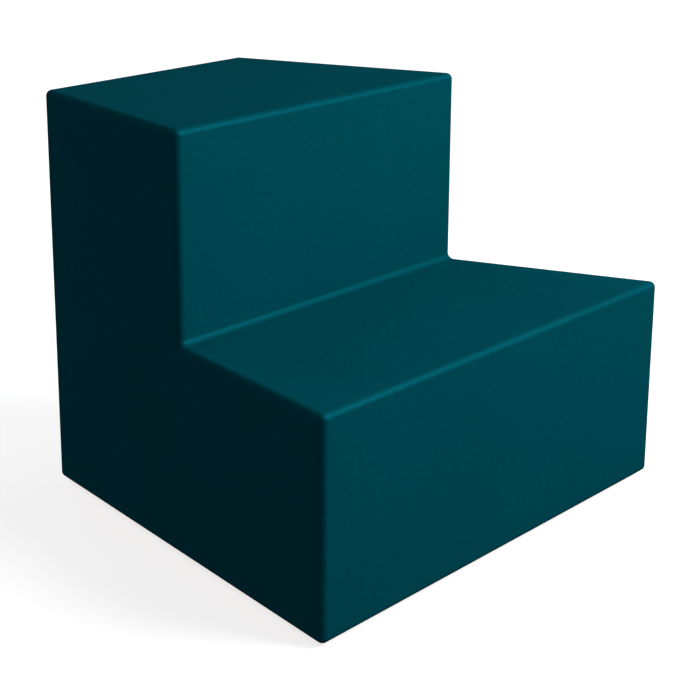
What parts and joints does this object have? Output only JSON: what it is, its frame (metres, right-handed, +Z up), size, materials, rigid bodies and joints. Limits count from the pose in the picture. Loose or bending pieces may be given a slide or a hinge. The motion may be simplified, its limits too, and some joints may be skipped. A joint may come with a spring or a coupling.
{
  "type": "horse mounting block",
  "caption": "Seamless two-step mounting block, trapezoid in plan, teal skin over foam and a plywood carcass on rubber feet.",
  "frame": {"origin": "on the floor, under the middle of the block's outline", "axes": "+X along the width of the step edges, to the rider's right when facing the block; +Y from the low step towards the high back; +Z up"},
  "size_m": [0.5956, 0.512, 0.454],
  "materials": {
    "skin": "satin, seamless sprayed polyurethane elastomer",
    "foam": "matt closed-cell polyethylene foam sheet",
    "plywood": "unfinished birch plywood",
    "softwood": "planed spruce batten",
    "rubber": "matt moulded rubber",
    "zinc_steel": "bright zinc plate"
  },
  "bodies": {
    "root": {"back_batten_left": "softwood", "back_batten_right": "softwood", "back_panel": "plywood", "back_panel_screws": "zinc_steel", "base_board": "plywood", "base_board_screws": "zinc_steel", "centre_rib": "plywood", "cleat_screws": "zinc_steel", "crease_cove": "foam", "foam_back": "foam", "foam_lower_riser": "foam", "foam_lower_tread": "foam", "foam_side_left": "foam", "foam_side_right": "foam", "foam_upper_riser": "foam", "foam_upper_tread": "foam", "foot_back_left": "rubber", "foot_back_right": "rubber", "foot_front_left": "rubber", "foot_front_right": "rubber", "foot_screws": "zinc_steel", "foot_washers": "zinc_steel", "front_batten_left": "softwood", "front_batten_right": "softwood", "lower_riser_board": "plywood", "lower_riser_board_screws": "zinc_steel", "lower_tread_board": "plywood", "lower_tread_screws": "zinc_steel", "outer_skin": "skin", "riser_batten_left": "softwood", "riser_batten_right": "softwood", "side_panel_left": "plywood", "side_panel_right": "plywood", "side_panel_screws_left": "zinc_steel", "side_panel_screws_right": "zinc_steel", "tread_cleat_left": "softwood", "tread_cleat_right": "softwood", "upper_riser_board": "plywood", "upper_riser_board_screws": "zinc_steel", "upper_tread_board": "plywood", "upper_tread_screws": "zinc_steel"}
  },
  "joints": []
}
